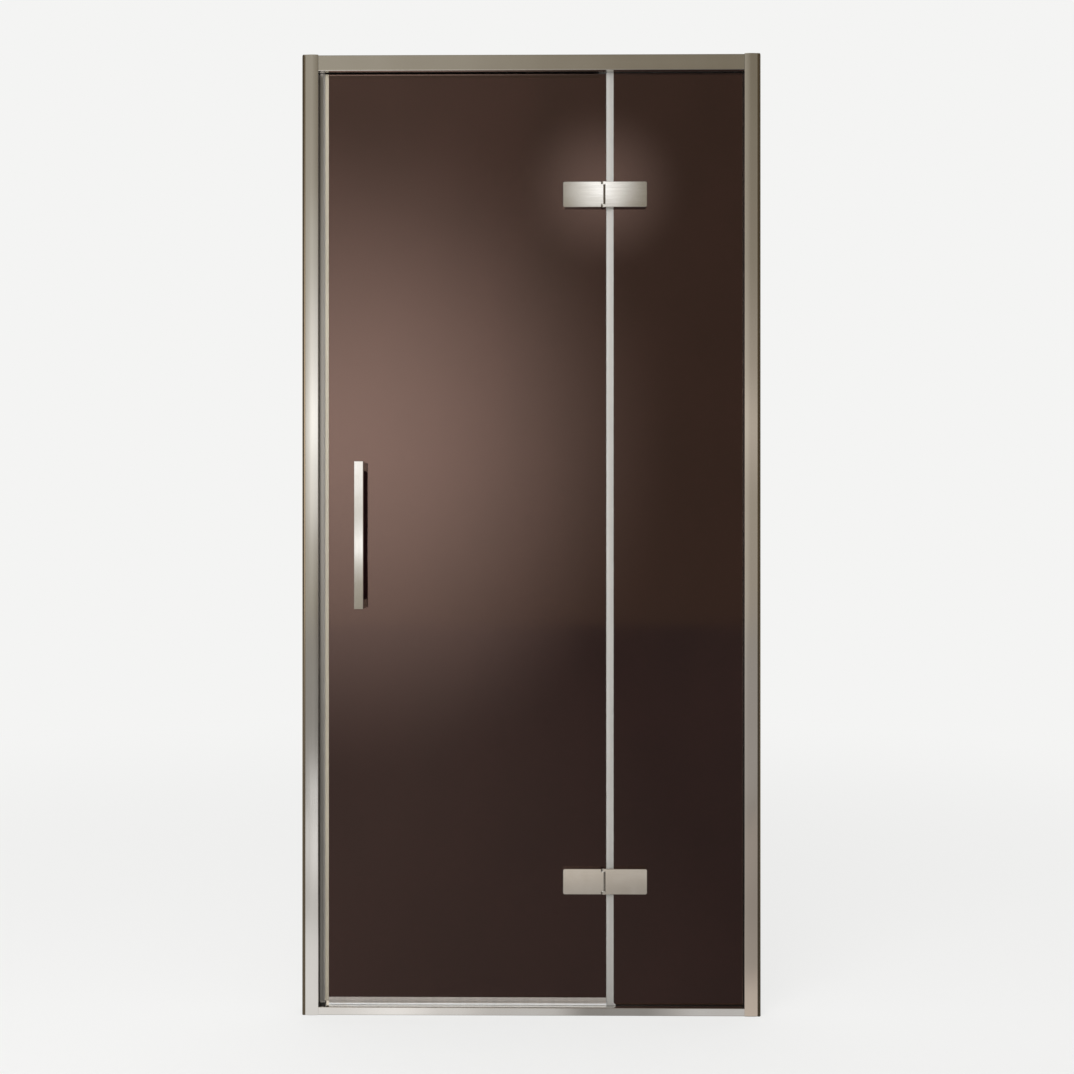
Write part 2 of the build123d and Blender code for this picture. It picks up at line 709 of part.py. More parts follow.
def glass_sleeves(places, bore_radius):
    sleeve_length = glass_thickness - 2 * sleeve_clearance
    with BuildPart() as sleeves:
        for place_x, place_z in places:
            with Locations(Plane((place_x, 0, place_z), z_dir=(0, 1, 0))):
                Cylinder(bore_radius - sleeve_clearance, sleeve_length)
                Cylinder(screw_radius + sleeve_clearance, sleeve_length, mode=Mode.SUBTRACT)
    return sleeves


for level, hinge_z in hinge_heights.items():
    save(hinge_door_plate(hinge_z), f"{level}_hinge_door_plate")
    save(hinge_fixed_plate(hinge_z), f"{level}_hinge_fixed_plate")
    save(hinge_pin(hinge_z), f"{level}_hinge_pin")
    save(hinge_thrust_washers(hinge_z), f"{level}_hinge_thrust_washers")
    leaves = (
        ("door", hinge_left + gasket_inset, clamp_inner_x, door_screw_x),
        ("fixed", fixed_clamp_start, hinge_right - gasket_inset, fixed_screw_x),
    )
    for leaf, leaf_start, leaf_end, screw_x in leaves:
        places = screw_places(screw_x, hinge_z)
        save(leaf_pads(leaf_start, leaf_end, screw_x, hinge_z), f"{level}_hinge_{leaf}_pads")
        save(leaf_clamp(leaf_start, leaf_end, screw_x, hinge_z), f"{level}_hinge_{leaf}_clamp")
        screws = countersunk_screws(places, clamp_back, plate_back - screw_bite)
        save(screws, f"{level}_hinge_{leaf}_screws")
        save(glass_sleeves(places, hinge_hole_radius), f"{level}_hinge_{leaf}_sleeves")


# Handle: a flat bar on two square posts, bolted through the door glass from behind
bar_front = -half_glass - handle_projection
bar_back = bar_front + handle_bar_thickness
post_back = -half_glass - gasket_thickness
rosette_back = half_glass + gasket_thickness + rosette_thickness

with BuildPart() as handle_bar:
    with BuildSketch(Plane.XZ.offset(-bar_back)):
        with Locations((handle_x, handle_height)):
            Rectangle(handle_width, handle_length)
    extrude(amount=handle_bar_thickness)
    chamfer(handle_bar.edges(), length=handle_edge)
    with BuildSketch(Plane.XZ.offset(-bar_back)):
        with Locations(*handle_centres):
            Circle(screw_bore)
    extrude(amount=handle_bolt_bite + axial_play, mode=Mode.SUBTRACT)
save(handle_bar, "handle_bar")

with BuildPart() as handle_posts:
    with BuildSketch(Plane.XZ.offset(-post_back)):
        with Locations(*handle_centres):
            Rectangle(handle_width - 2 * handle_edge, handle_post_height - 2 * handle_edge)
            Circle(screw_bore, mode=Mode.SUBTRACT)
    extrude(amount=post_back - bar_back)
save(handle_posts, "handle_posts")

with BuildPart() as handle_pads:
    with BuildSketch(Plane.XZ.offset(-post_back)):
        with Locations(*handle_centres):
            Rectangle(handle_width - 4 * handle_edge, handle_post_height - 4 * handle_edge)
            Circle(screw_radius + sleeve_clearance, mode=Mode.SUBTRACT)
    extrude(amount=-gasket_thickness)
save(handle_pads, "handle_pads")

with BuildPart() as handle_rear_washers:
    with BuildSketch(Plane.XZ.offset(-half_glass)):
        with Locations(*handle_centres):
            Circle(rosette_radius - handle_edge)
            Circle(screw_radius + sleeve_clearance, mode=Mode.SUBTRACT)
    extrude(amount=-gasket_thickness)
save(handle_rear_washers, "handle_rear_washers")

with BuildPart() as handle_rosettes:
    for place_x, place_z in handle_centres:
        with Locations(Plane((place_x, rosette_back, place_z), z_dir=(0, 1, 0))):
            Cylinder(rosette_radius, rosette_thickness, align=(Align.CENTER, Align.CENTER, Align.MAX))
    rosette_rims = handle_rosettes.faces().filter_by(Axis.Y).group_by(Axis.Y)[-1].edges()
    fillet(rosette_rims, radius=rosette_round)
    for place_x, place_z in handle_centres:
        with Locations(Plane((place_x, rosette_back, place_z), z_dir=(0, 1, 0))):
            Cylinder(screw_bore, 2 * rosette_thickness, mode=Mode.SUBTRACT)
            Cone(screw_bore, screw_head_radius + screw_fit, screw_head_height,
                 align=(Align.CENTER, Align.CENTER, Align.MAX), mode=Mode.SUBTRACT)
save(handle_rosettes, "handle_rosettes")

save(countersunk_screws(handle_centres, rosette_back, bar_back - handle_bolt_bite), "handle_bolts")
save(glass_sleeves(handle_centres, handle_hole_radius), "handle_sleeves")
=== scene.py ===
from math import radians

import bmesh
import bpy
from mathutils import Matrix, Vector


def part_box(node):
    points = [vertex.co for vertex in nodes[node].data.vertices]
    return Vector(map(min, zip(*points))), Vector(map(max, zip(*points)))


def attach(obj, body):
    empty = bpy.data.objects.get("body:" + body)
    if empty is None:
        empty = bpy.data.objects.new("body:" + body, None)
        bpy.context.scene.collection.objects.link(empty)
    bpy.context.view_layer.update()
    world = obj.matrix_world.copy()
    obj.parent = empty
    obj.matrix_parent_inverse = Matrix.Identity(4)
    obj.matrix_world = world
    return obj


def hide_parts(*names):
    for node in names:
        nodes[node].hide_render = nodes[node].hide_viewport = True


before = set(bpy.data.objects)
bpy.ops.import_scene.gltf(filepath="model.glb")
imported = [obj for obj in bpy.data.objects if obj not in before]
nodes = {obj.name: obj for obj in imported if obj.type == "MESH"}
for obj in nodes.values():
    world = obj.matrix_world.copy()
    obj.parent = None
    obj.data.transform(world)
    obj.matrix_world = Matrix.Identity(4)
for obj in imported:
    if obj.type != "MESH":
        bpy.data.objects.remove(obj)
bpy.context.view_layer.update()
mm = 0.001


# Places that the CAD fixes, in millimetres, so that a remodelled seal sits where its node is
def nodeBox(name):
    low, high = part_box(name)
    return [v / mm for v in low], [v / mm for v in high]


doorGlassLow, doorGlassHigh = nodeBox("door_glass")
fixedGlassLow, fixedGlassHigh = nodeBox("fixed_glass")
headerFoot = nodeBox("header_rail")[0][2]
halfGlass = doorGlassHigh[1]
print("frame loaded:", len(nodes), "nodes")


# Colours are written as sRGB hex and turned to linear here
def hexColor(text):
    parts = [int(text[i:i + 2], 16) / 255 for i in (1, 3, 5)]
    linear = [v / 12.92 if v <= 0.04045 else ((v + 0.055) / 1.055) ** 2.4 for v in parts]
    return (*linear, 1.0)


# Adds one node, sets its properties and sockets, and links the sockets that are given a socket
def addNode(tree, kind, sockets=None, **settings):
    node = tree.nodes.new(kind)
    for name, value in settings.items():
        setattr(node, name, value)
    for name, value in (sockets or {}).items():
        if isinstance(value, bpy.types.NodeSocket):
            tree.links.new(value, node.inputs[name])
        else:
            node.inputs[name].default_value = value
    return node


def newTree(name):
    material = bpy.data.materials.new(name)
    material.use_nodes = True
    material.node_tree.nodes.clear()
    return material, material.node_tree


def closeTree(tree, shader):
    addNode(tree, "ShaderNodeOutputMaterial", {"Surface": shader})


# Noise of a real size on Object coordinates: size is (x, y, z) in millimetres
def grainOf(tree, size, detail=2.0):
    place = addNode(tree, "ShaderNodeTexCoord")
    stretch = addNode(tree, "ShaderNodeMapping", {
        "Vector": place.outputs["Object"],
        "Scale": [1 / (v * mm) for v in size]})
    noise = addNode(tree, "ShaderNodeTexNoise", {
        "Vector": stretch.outputs[0], "Scale": 1.0, "Detail": detail})
    return noise.outputs["Fac"]


noiseLow, noiseHigh = 0.3, 0.7      # nearly all of a noise's values lie between these


def spread(tree, value, low, high):
    return addNode(tree, "ShaderNodeMapRange", {
        "Value": value, "From Min": noiseLow, "From Max": noiseHigh,
        "To Min": low, "To Max": high}).outputs[0]


def blendColors(tree, value, first, second):
    ramp = addNode(tree, "ShaderNodeValToRGB", {"Fac": value})
    start, end = ramp.color_ramp.elements
    start.position, start.color = noiseLow, hexColor(first)
    end.position, end.color = noiseHigh, hexColor(second)
    return ramp.outputs[0]


def bumpOf(tree, height, distance, strength):
    return addNode(tree, "ShaderNodeBump", {
        "Height": height, "Distance": distance * mm, "Strength": strength}).outputs[0]


# Nickel anodised aluminium extrusion: bright and warm, with faint die lines along its length. Real ones
# are 0.1 mm apart: these are drawn coarser so that they show.
profileLook = {
    "light": "#E8E5E0", "dark": "#E1DDD7",
    "roughness": (0.10, 0.16),
    "dieLine": 1.6, "dieRun": 900.0,
    "cloud": (120, 120, 260),
    "bump": 0.004, "bumpStrength": 0.25,
}
# The wall channels are the same metal, coloured in a darker tone: the darker tone is painted shade,
# standing in for the dim reflections along them
shadedChannelLook = {**profileLook, "light": "#A39682", "dark": "#978A77"}


def anodisedAluminium(name, along, look):
    size = [look["dieLine"]] * 3
    size[along] = look["dieRun"]
    material, tree = newTree(name)
    lines = grainOf(tree, size)
    cloud = grainOf(tree, look["cloud"])
    shader = addNode(tree, "ShaderNodeBsdfPrincipled", {
        "Base Color": blendColors(tree, cloud, look["dark"], look["light"]),
        "Metallic": 1.0,
        "Roughness": spread(tree, lines, *look["roughness"]),
        "Normal": bumpOf(tree, lines, look["bump"], look["bumpStrength"])})
    closeTree(tree, shader.outputs[0])
    return material


# Nickel plated hinge and handle: fine brushed along its length, then buffed to a satin gloss
hardwareLook = {
    "light": "#E9E6E2", "dark": "#E2DED8",
    "brushLine": 0.9, "brushRun": 45.0,
    "cloud": (35, 35, 35),
    "bump": 0.003, "bumpStrength": 0.2,
}


def platedHardware(name, along, roughness):
    look = hardwareLook
    size = [look["brushLine"]] * 3
    size[along] = look["brushRun"]
    material, tree = newTree(name)
    lines = grainOf(tree, size, 4.0)
    cloud = grainOf(tree, look["cloud"])
    shader = addNode(tree, "ShaderNodeBsdfPrincipled", {
        "Base Color": blendColors(tree, cloud, look["dark"], look["light"]),
        "Metallic": 1.0,
        "Roughness": spread(tree, lines, *roughness),
        "Normal": bumpOf(tree, lines, look["bump"], look["bumpStrength"])})
    closeTree(tree, shader.outputs[0])
    return material


# The plainer materials each take their colour, gloss and relief from one grain
def grainedMaterial(name, look):
    material, tree = newTree(name)
    grain = grainOf(tree, look["grain"], look["detail"])
    shader = addNode(tree, "ShaderNodeBsdfPrincipled", {
        "Base Color": blendColors(tree, grain, look["dark"], look["light"]),
        "Roughness": spread(tree, grain, *look["roughness"]),
        "Normal": bumpOf(tree, grain, look["bump"], look["bumpStrength"]),
        **look["sockets"]})
    closeTree(tree, shader.outputs[0])
    return material


# Satin anodised aluminium of the strike: greyer and softer than the frame
strikeLook = {
    "light": "#A9A7A3", "dark": "#9C9A97",
    "grain": (1.2, 1.2, 700), "detail": 2.0,
    "roughness": (0.30, 0.40), "bump": 0.005, "bumpStrength": 0.3,
    "sockets": {"Metallic": 1.0},
}

# Stainless steel screws and pins: turned, with a plain machined sheen
steelLook = {
    "light": "#CBC9C4", "dark": "#B9B7B2",
    "grain": (0.5, 0.5, 0.5), "detail": 3.0,
    "roughness": (0.22, 0.34), "bump": 0.004, "bumpStrength": 0.3,
    "sockets": {"Metallic": 1.0},
}

# Toughened glass, bronze through its body and coated to mirror a little: almost nothing shows
# through it, and what it mirrors comes back warm. Toughening leaves a slight roller wave.
glassLook = {
    "thin": "#1B0C0D", "thick": "#14080A",
    "tint": "#FFD8CB",
    "ior": 2.06,                        # stands for the mirror coating on glass of 1.52
    "roughness": (0.045, 0.075),
    "rollerWave": (900, 900, 280), "waveHeight": 0.02, "waveStrength": 0.35,
    "film": (160, 160, 230),
}


def bronzeGlass(name):
    look = glassLook
    material, tree = newTree(name)
    wave = grainOf(tree, look["rollerWave"], 0.0)
    film = grainOf(tree, look["film"], 3.0)
    shader = addNode(tree, "ShaderNodeBsdfPrincipled", {
        "Base Color": blendColors(tree, film, look["thick"], look["thin"]),
        "Metallic": 0.0,
        "IOR": look["ior"],
        "Transmission Weight": 1.0,
        "Specular Tint": hexColor(look["tint"]),
        "Roughness": spread(tree, film, *look["roughness"]),
        "Normal": bumpOf(tree, wave, look["waveHeight"], look["waveStrength"])})
    closeTree(tree, shader.outputs[0])
    return material


# Soft PVC, extruded: clear PVC turns milky over its length, and scatters a little light
pvcLook = {
    "grain": (9, 9, 260), "detail": 2.0,
    "roughness": (0.28, 0.38), "bump": 0.03, "bumpStrength": 0.3,
    "sockets": {
        "IOR": 1.53, "Subsurface Weight": 0.25, "Subsurface Scale": 1.0,
        "Subsurface Radius": (2.4 * mm, 2.2 * mm, 2.0 * mm)},
}


def softPvc(name, light, dark, clearness):
    sockets = {**pvcLook["sockets"], "Transmission Weight": clearness}
    return grainedMaterial(name, {**pvcLook, "light": light, "dark": dark, "sockets": sockets})


# EPDM rubber, extruded: black and matt with a fine skin
rubberLook = {
    "light": "#1F1D1B", "dark": "#141312",
    "grain": (0.8, 0.8, 0.8), "detail": 4.0,
    "roughness": (0.55, 0.72), "bump": 0.02, "bumpStrength": 0.4,
    "sockets": {"IOR": 1.5},
}

# Flexible magnet: rubber filled with ferrite powder, slate grey
ferriteLook = {
    "light": "#3A3735", "dark": "#2A2827",
    "grain": (0.6, 0.6, 0.6), "detail": 5.0,
    "roughness": (0.5, 0.65), "bump": 0.02, "bumpStrength": 0.3,
    "sockets": {"IOR": 1.6},
}

# Nylon, moulded and waxy: off-white in the sleeves and washers; the strike's foot block is coloured black
# as painted shade, standing in for the shadow in the gap under the strike
nylonLook = {
    "light": "#E4E1D8", "dark": "#D9D6CC",
    "grain": (3, 3, 3), "detail": 3.0,
    "roughness": (0.4, 0.5), "bump": 0.01, "bumpStrength": 0.2,
    "sockets": {
        "IOR": 1.53, "Subsurface Weight": 0.2, "Subsurface Scale": 1.0,
        "Subsurface Radius": (1.5 * mm, 1.4 * mm, 1.2 * mm)},
}
paintedShadeNylonLook = {**nylonLook, "light": "#181715", "dark": "#100F0E"}

alongX, alongZ = 0, 2
finishes = {
    "upright": anodisedAluminium("anodisedAluminiumUpright", alongZ, profileLook),
    "crosswise": anodisedAluminium("anodisedAluminiumRail", alongX, profileLook),
    # the channels' darker colour is painted shade
    "channel": anodisedAluminium("anodisedAluminiumChannelShade", alongZ, shadedChannelLook),
    "hinge": platedHardware("nickelPlatedHinge", alongX, (0.07, 0.12)),
    "handle": platedHardware("nickelPlatedHandle", alongZ, (0.08, 0.12)),
    "strike": grainedMaterial("satinAnodisedAluminium", strikeLook),
    "steel": grainedMaterial("stainlessSteel", steelLook),
    "glass": bronzeGlass("bronzeToughenedGlass"),
    "clearPvc": softPvc("clearSoftPvc", "#D3D1CC", "#CAC8C3", 0.25),
    "footPvc": softPvc("footSoftPvc", "#CFC6BE", "#C4BCB4", 0.35),
    "magnetPvc": softPvc("beigeMagnetPvc", "#B9B19F", "#AEA695", 0.0),
    "greyPvc": softPvc("greyMagnetPvc", "#908D88", "#86837E", 0.0),
    "rubber": grainedMaterial("epdmRubber", rubberLook),
    "magnet": grainedMaterial("ferriteRubber", ferriteLook),
    "nylon": grainedMaterial("naturalNylon", nylonLook),
    "paintedShadeNylon": grainedMaterial("paintedShadeNylon", paintedShadeNylonLook),
    # near-white colour of the foot seal's vane tips: a painted highlight for the bright line along the
    # sill
    "highlightLipPvc": softPvc("paintedHighlightLipPvc", "#F6F6F4", "#F0F0ED", 0.0),
}

# Each carried-over node's finish, by the end of its name: the last one that fits counts
nodeFinishes = [
    ("_wall_channel", "channel"), ("_frame_post", "upright"), ("_top_cap", "crosswise"),
    ("header_rail", "crosswise"), ("sill_rail", "crosswise"), ("sill_water_bar", "crosswise"),
    ("_screw_covers", "upright"), ("header_screws", "steel"), ("sill_screws", "steel"),
    ("_clamp_screws", "steel"), ("strike_profile", "strike"), ("_magnet", "magnet"),
    ("_glass", "glass"), ("_plate", "hinge"), ("_clamp", "hinge"), ("_pin", "steel"),
    ("_washers", "nylon"), ("_door_screws", "steel"), ("_fixed_screws", "steel"),
    # the foot block's black is painted shade for the gap under the strike
    ("_sleeves", "nylon"), ("_foot_block", "paintedShadeNylon"),
    ("handle_bar", "handle"), ("handle_posts", "handle"), ("handle_rosettes", "handle"),
    ("handle_bolts", "steel"),
    ("_pads", "rubber"), ("_seal", "clearPvc"), ("handle_rear_washers", "clearPvc"),
]

for nodeName, node in nodes.items():
    chosen = [finish for ending, finish in nodeFinishes if nodeName.endswith(ending)]
    node.data.materials.clear()
    node.data.materials.append(finishes[chosen[-1] if chosen else "rubber"])
print("materials made and set on the nodes")


# Seals and gaskets are drawn as sections, as their dies shape them, and then run out to length
farAway = 1e6
turnToYz = (radians(90), 0, radians(90))    # a plane's own X and Y become the room's Y and Z
pickSlack = 0.01
softening = {"steps": 2, "bevelOver": 40, "smoothUnder": 30}      # angles in degrees


def drawPlate(name, plane, low, high, level):
    bpy.ops.object.select_all(action="DESELECT")
    across, along = [(a + b) / 2 * mm for a, b in zip(low, high)]
    place = (across, along, level * mm) if plane == "XY" else (level * mm, across, along)
    turn = (0, 0, 0) if plane == "XY" else turnToYz
    bpy.ops.mesh.primitive_plane_add(size=1, location=place, rotation=turn)
    piece = bpy.context.object
    piece.name = name
    piece.scale = ((high[0] - low[0]) * mm, (high[1] - low[1]) * mm, 1)
    bpy.ops.object.transform_apply(location=True, rotation=True, scale=True)
    bpy.ops.object.mode_set(mode="EDIT")
    return piece


# Selects what lies wholly between two corners, in millimetres
def pickBox(kind, low, high, keep=False):
    bpy.ops.mesh.select_mode(type=kind)
    if not keep:
        bpy.ops.mesh.select_all(action="DESELECT")
    mesh = bmesh.from_edit_mesh(bpy.context.object.data)
    for part in {"VERT": mesh.verts, "EDGE": mesh.edges, "FACE": mesh.faces}[kind]:
        corners = [part] if kind == "VERT" else part.verts
        if all(low[i] - pickSlack <= c.co[i] / mm <= high[i] + pickSlack
               for c in corners for i in range(3)):
            part.select_set(True)
    mesh.select_flush_mode()
    bmesh.update_edit_mesh(bpy.context.object.data)


def cutAt(axis, *places):
    for place in places:
        point, normal = [0, 0, 0], [0, 0, 0]
        point[axis], normal[axis] = place * mm, 1
        bpy.ops.mesh.select_all(action="SELECT")
        bpy.ops.mesh.bisect(plane_co=point, plane_no=normal)


def pull(by):
    bpy.ops.mesh.extrude_region_move(TRANSFORM_OT_translate={"value": [v * mm for v in by]})


def runOut(by):
    bpy.ops.mesh.select_all(action="SELECT")
    pull(by)
    bpy.ops.mesh.select_all(action="SELECT")
    bpy.ops.mesh.normals_make_consistent(inside=False)


# Two walls that hold the glass between them: they grow from the edges of a section at one place
def pullWalls(axis, place, by, inner, outer):
    for side in (-1, 1):
        low, high = [-farAway] * 3, [farAway] * 3
        low[axis] = high[axis] = place
        low[1], high[1] = sorted((side * inner, side * outer))
        pickBox("EDGE", low, high)
        reach = [0, 0, 0]
        reach[axis] = by
        pull(reach)


def addBlock(low, high):
    bpy.ops.mesh.primitive_cube_add(
        size=1, location=[(a + b) / 2 * mm for a, b in zip(low, high)],
        scale=[(b - a) * mm for a, b in zip(low, high)])


def finishPiece(piece, look):
    bpy.ops.object.mode_set(mode="OBJECT")
    soften = piece.modifiers.new("softEdge", "BEVEL")
    soften.width = look["edge"] * mm
    soften.segments = softening["steps"]
    soften.limit_method = "ANGLE"
    soften.angle_limit = radians(softening["bevelOver"])
    bpy.ops.object.modifier_apply(modifier=soften.name)
    bpy.ops.object.shade_smooth_by_angle(angle=radians(softening["smoothUnder"]))
    piece.data.materials.append(finishes[look["finish"]])
    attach(piece, look["body"])
    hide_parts(look["node"])


# The strip on the fixed pane that closes the gap: a hollow bulb, two legs and a small curved foot
gapSeal = {
    "node": "gap_seal", "slot": "clear_seal", "body": "frame", "finish": "clearPvc",
    "corner": 1.5, "cornerSteps": 4, "wall": 1.6, "legLength": 6.5, "edge": 0.2,
    "footHeight": 6.0, "footOverlap": 0.3, "footCurve": 3.4, "footSteps": 6, "footShape": 0.1,
}


def makeGapSeal():
    look = gapSeal
    low, high = nodeBox(look["node"])
    glassEdge = fixedGlassLow[0]
    legEnd = glassEdge + look["legLength"]
    piece = drawPlate("gapSealStrip", "XY", low, (glassEdge, high[1]), low[2])
    pickBox("VERT", (low[0], -farAway, -farAway), (low[0], farAway, farAway))
    bpy.ops.mesh.bevel(offset=look["corner"] * mm, segments=look["cornerSteps"], affect="VERTICES")
    bpy.ops.mesh.select_mode(type="FACE")
    bpy.ops.mesh.select_all(action="SELECT")
    bpy.ops.mesh.inset(thickness=look["wall"] * mm)
    bpy.ops.mesh.delete(type="FACE")
    cutAt(1, -halfGlass, halfGlass)
    pullWalls(0, glassEdge, look["legLength"], halfGlass, high[1])
    runOut((0, 0, high[2] - low[2]))
    footTop = low[2] + look["footHeight"]
    addBlock((legEnd - look["footOverlap"], low[1], low[2]), (high[0], -halfGlass, footTop))
    pickBox("EDGE", (high[0], -farAway, footTop), (high[0], farAway, footTop))
    bpy.ops.mesh.bevel(
        offset=look["footCurve"] * mm, segments=look["footSteps"], profile=look["footShape"])
    finishPiece(piece, look)


# The sweep under the door: a floor, two legs that grip the glass and two vanes that reach the sill
footSeal = {
    "node": "door_foot_seal", "slot": "clear_seal", "body": "door", "finish": "footPvc",
    "floor": 0.8, "vaneFrom": 1.8, "vaneTo": 2.6, "vaneSpread": 1.2, "edge": 0.15,
    "lip": "highlightLipPvc", "lipHeight": 3.2, "lipSlack": 0.05,
}


def makeFootSeal():
    look = footSeal
    low, high = nodeBox(look["node"])
    floorTop = doorGlassLow[2]
    floorFoot = floorTop - look["floor"]
    piece = drawPlate("doorFootSeal", "YZ", (low[1], floorFoot), (high[1], floorTop), low[0])
    lipTop = low[2] + look["lipHeight"]
    share = (floorFoot - lipTop) / (floorFoot - low[2])
    cutAt(1, *[side * v for side in (-1, 1) for v in (look["vaneFrom"], look["vaneTo"], halfGlass)])
    pullWalls(2, floorTop, high[2] - floorTop, halfGlass, high[1])
    for side in (-1, 1):
        vane = sorted((side * look["vaneFrom"], side * look["vaneTo"]))
        pickBox("EDGE", (-farAway, vane[0], floorFoot), (farAway, vane[1], floorFoot))
        pull((0, side * look["vaneSpread"] * share, lipTop - floorFoot))
        pull((0, side * look["vaneSpread"] * (1 - share), low[2] - lipTop))
    runOut((high[0] - low[0], 0, 0))
    finishPiece(piece, look)
    # the vanes' tips are coloured near white to give the bright line along the sill's top: a painted
    # highlight
    piece.data.materials.append(finishes[look["lip"]])
    for face in piece.data.polygons:
        if face.center.z / mm < lipTop - look["lipSlack"]:
            face.material_index = 1


# Magnet seals: a sleeve for the magnet strip, on legs round the door's glass or on a tongue in the strike
doorMagnetSeal = {
    "node": "door_magnet_seal", "slot": "grey_seal", "body": "door", "finish": "magnetPvc",
    "edge": 0.15,
}
strikeMagnetSeal = {
    "node": "strike_magnet_seal", "slot": "grey_seal", "body": "frame", "finish": "greyPvc",
    "tongue": 1.8, "edge": 0.15,
}


def cutMagnetSlot(magnet):
    magnetLow, magnetHigh = nodeBox(magnet)
    cutAt(0, magnetLow[0], magnetHigh[0])
    cutAt(1, magnetLow[1], magnetHigh[1])
    pickBox("FACE", (*magnetLow[:2], -farAway), (*magnetHigh[:2], farAway))
    bpy.ops.mesh.delete(type="FACE")


def makeDoorMagnetSeal():
    look = doorMagnetSeal
    low, high = nodeBox(look["node"])
    glassEdge = doorGlassLow[0]
    piece = drawPlate("doorMagnetSeal", "XY", low, (glassEdge, high[1]), low[2])
    cutMagnetSlot("door_magnet")
    cutAt(1, -halfGlass, halfGlass)
    pullWalls(0, glassEdge, high[0] - glassEdge, halfGlass, high[1])
    runOut((0, 0, high[2] - low[2]))
    finishPiece(piece, look)


def makeStrikeMagnetSeal():
    look = strikeMagnetSeal
    low, high = nodeBox(look["node"])
    strikeFace = nodeBox("strike_profile")[1][0]
    magnetLow, magnetHigh = nodeBox("strike_magnet")
    middle = (magnetLow[1] + magnetHigh[1]) / 2
    tongue = (middle - look["tongue"] / 2, middle + look["tongue"] / 2)
    piece = drawPlate("strikeMagnetSeal", "XY", (strikeFace, low[1]), high, low[2])
    cutMagnetSlot("strike_magnet")
    cutAt(1, *tongue)
    pickBox("EDGE", (strikeFace, tongue[0], -farAway), (strikeFace, tongue[1], farAway))
    pull((low[0] - strikeFace, 0, 0))
    runOut((0, 0, high[2] - low[2]))
    finishPiece(piece, look)


# The header's stop seal: a tongue in the header's groove and, behind the door, a lip that it closes on
headerSeal = {
    "node": "header_stop_seal", "slot": "dark_gasket", "body": "frame", "finish": "rubber",
    "lip": 1.6, "lipStart": 11.0, "lipEnd": 14.3, "edge": 0.2,
}


def makeHeaderSeal():
    look = headerSeal
    low, high = nodeBox(look["node"])
    piece = drawPlate("headerStopSeal", "YZ", (low[1], headerFoot), (-low[1], high[2]), low[0])
    runOut((high[0] - low[0], 0, 0))
    addBlock((low[0] + look["lipStart"], high[1] - look["lip"], low[2]),
             (high[0] - look["lipEnd"], high[1], headerFoot))
    finishPiece(piece, look)


# Glazing gaskets of the fixed pane: black channels that grip its edge inside the post and the rails
gasketLook = {"slot": "dark_gasket", "body": "frame", "finish": "rubber", "edge": 0.3}
glazing = {
    "sideGasket": {"node": "glazing_gasket_side", "axis": 0, "glassEdge": fixedGlassHigh[0]},
    "topGasket": {"node": "glazing_gasket_top", "axis": 2, "glassEdge": fixedGlassHigh[2]},
    "bottomGasket": {"node": "glazing_gasket_bottom", "axis": 2, "glassEdge": fixedGlassLow[2]},
}


def makeGlazingGasket(name, look):
    low, high = nodeBox(look["node"])
    axis, edge = look["axis"], look["glassEdge"]
    opensUp = edge - low[axis] < high[axis] - edge
    back, mouth = (low[axis], high[axis]) if opensUp else (high[axis], low[axis])
    floor = sorted((back, edge))
    if axis == 0:
        piece = drawPlate(name, "XY", (floor[0], low[1]), (floor[1], high[1]), low[2])
    else:
        piece = drawPlate(name, "YZ", (low[1], floor[0]), (high[1], floor[1]), low[0])
    cutAt(1, -halfGlass, halfGlass)
    pullWalls(axis, edge, mouth - edge, halfGlass, high[1])
    length = [0, 0, 0]
    length[2 - axis] = high[2 - axis] - low[2 - axis]
    runOut(length)
    finishPiece(piece, {**gasketLook, **look})


# Pads between metal and glass, die cut, with a hole for each screw: square ones under the hinge plates
# and the handle's posts, round ones under the rosettes at the back
padDrill = {"radius": 3.1, "sides": 32, "depth": 40}
hingePads = {"slot": "dark_gasket", "finish": "rubber", "corner": 1.2, "segments": 3, "edge": 0.12}
handlePads = {
    "node": "handle_pads", "slot": "clear_seal", "body": "door", "finish": "clearPvc",
    "height": 16.0, "corner": 0.8, "segments": 3, "edge": 0.12,
}
rearWashers = {
    "node": "handle_rear_washers", "slot": "clear_seal", "body": "door", "finish": "clearPvc",
    "segments": 12, "edge": 0.12,
    "roundness": 0.999,                 # of its half width, so that the corners' curves stay apart
}


def makePads(name, look, blocks, holes):
    bpy.ops.object.select_all(action="DESELECT")
    addBlock(*blocks[0])
    piece = bpy.context.object
    piece.name = name
    bpy.ops.object.transform_apply(location=True, rotation=True, scale=True)
    bpy.ops.object.mode_set(mode="EDIT")
    addBlock(*blocks[1])
    for low, high in blocks:
        bpy.ops.mesh.select_all(action="DESELECT")
        for x in (low[0], high[0]):
            for z in (low[2], high[2]):
                pickBox("EDGE", (x, low[1], z), (x, high[1], z), keep=True)
        bpy.ops.mesh.bevel(offset=look["corner"] * mm, segments=look["segments"])
    bpy.ops.object.mode_set(mode="OBJECT")
    for x, z in holes:
        bpy.ops.mesh.primitive_cylinder_add(
            vertices=padDrill["sides"], radius=padDrill["radius"] * mm, depth=padDrill["depth"] * mm,
            location=(x * mm, 0, z * mm), rotation=(radians(90), 0, 0))
        drill = bpy.context.object
        bpy.context.view_layer.objects.active = piece
        hole = piece.modifiers.new("screwHole", "BOOLEAN")
        hole.object = drill
        hole.solver = "EXACT"
        bpy.ops.object.modifier_apply(modifier=hole.name)
        bpy.data.objects.remove(drill)
    bpy.ops.object.select_all(action="DESELECT")
    piece.select_set(True)
    finishPiece(piece, look)


# The two ends of a node along Z, each as (middle, low, high), where each end is as tall as given
def endsOf(node, height):
    low, high = nodeBox(node)
    return [(low[2] + height / 2, low[2], low[2] + height),
            (high[2] - height / 2, high[2] - height, high[2])]


